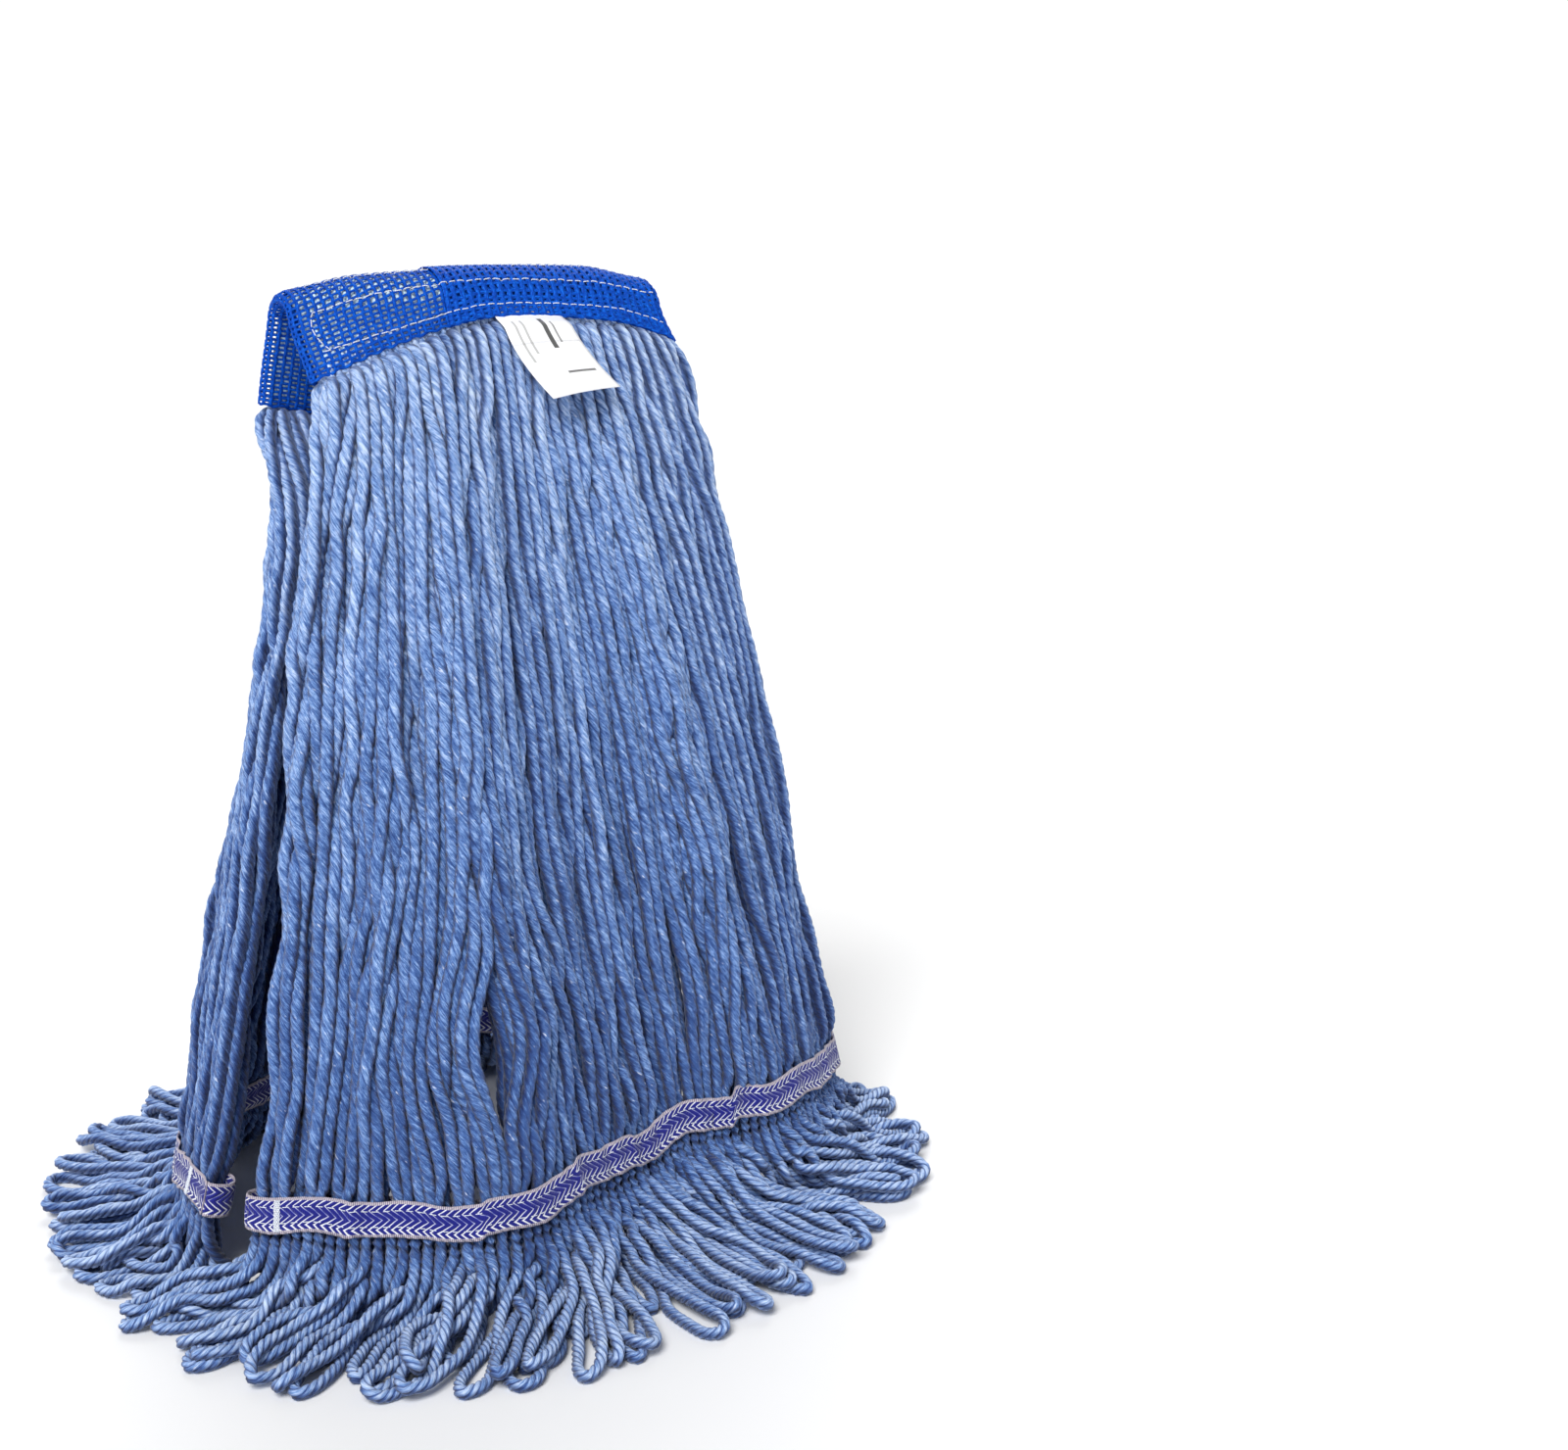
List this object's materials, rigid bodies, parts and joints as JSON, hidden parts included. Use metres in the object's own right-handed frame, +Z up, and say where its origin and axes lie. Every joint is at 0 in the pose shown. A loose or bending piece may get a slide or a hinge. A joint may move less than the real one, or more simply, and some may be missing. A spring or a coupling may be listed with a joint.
{
  "type": "string mop",
  "caption": "Looped-end string mop head: twisted yarn in two curtains under a folded mesh headband, with a woven tail tape and a splayed loop fringe.",
  "frame": {"origin": "on the floor under the middle of the headband", "axes": "+Z up, +X along the headband, -Y towards the curtain with the label"},
  "size_m": [0.4435, 0.442, 0.46],
  "materials": {
    "yarn": "twisted heathered yarn, matt",
    "headband_mesh": "open woven mesh, matt",
    "tail_webbing": "navy and off-white herringbone webbing",
    "thread": "white sewing thread",
    "label": "smooth white woven label"
  },
  "bodies": {
    "headband": {"headband_tape": "headband_mesh", "core_yarn_1": "yarn", "core_yarn_2": "yarn", "core_yarn_3": "yarn", "core_yarn_4": "yarn", "front_box_stitch": "thread", "rear_box_stitch": "thread", "front_ridge_stitch": "thread", "rear_ridge_stitch": "thread"},
    "front_curtain": {"front_yarn_1": "yarn", "front_yarn_2": "yarn", "front_yarn_3": "yarn", "front_yarn_4": "yarn", "front_yarn_5": "yarn", "front_yarn_6": "yarn", "front_yarn_7": "yarn", "front_yarn_8": "yarn", "front_fringe_1": "yarn", "front_fringe_2": "yarn", "front_fringe_3": "yarn", "front_fringe_4": "yarn", "front_fringe_5": "yarn", "front_fringe_6": "yarn", "front_fringe_7": "yarn", "front_fringe_8": "yarn", "front_tail_tape": "tail_webbing", "front_bartack": "thread"},
    "rear_curtain": {"rear_yarn_1": "yarn", "rear_yarn_2": "yarn", "rear_yarn_3": "yarn", "rear_yarn_4": "yarn", "rear_yarn_5": "yarn", "rear_yarn_6": "yarn", "rear_yarn_7": "yarn", "rear_yarn_8": "yarn", "rear_fringe_1": "yarn", "rear_fringe_2": "yarn", "rear_fringe_3": "yarn", "rear_fringe_4": "yarn", "rear_fringe_5": "yarn", "rear_fringe_6": "yarn", "rear_fringe_7": "yarn", "rear_fringe_8": "yarn", "rear_tail_tape": "tail_webbing", "rear_bartack": "thread"},
    "label": {"label": "label"}
  },
  "joints": [
    {"name": "front_curtain_swing", "type": "hinge", "parent": "headband", "child": "front_curtain", "pos_m": [0, -0.02049, 0.41779], "axis": [-1, 0, 0], "range_deg": [0, 45]},
    {"name": "rear_curtain_swing", "type": "hinge", "parent": "headband", "child": "rear_curtain", "pos_m": [0, 0.03315, 0.38301], "axis": [1, 0, 0], "range_deg": [0, 45]},
    {"name": "label_flap", "type": "hinge", "parent": "front_curtain", "child": "label", "pos_m": [0.0215, -0.02911, 0.41718], "axis": [-1, 0, 0], "range_deg": [0, 100]}
  ]
}
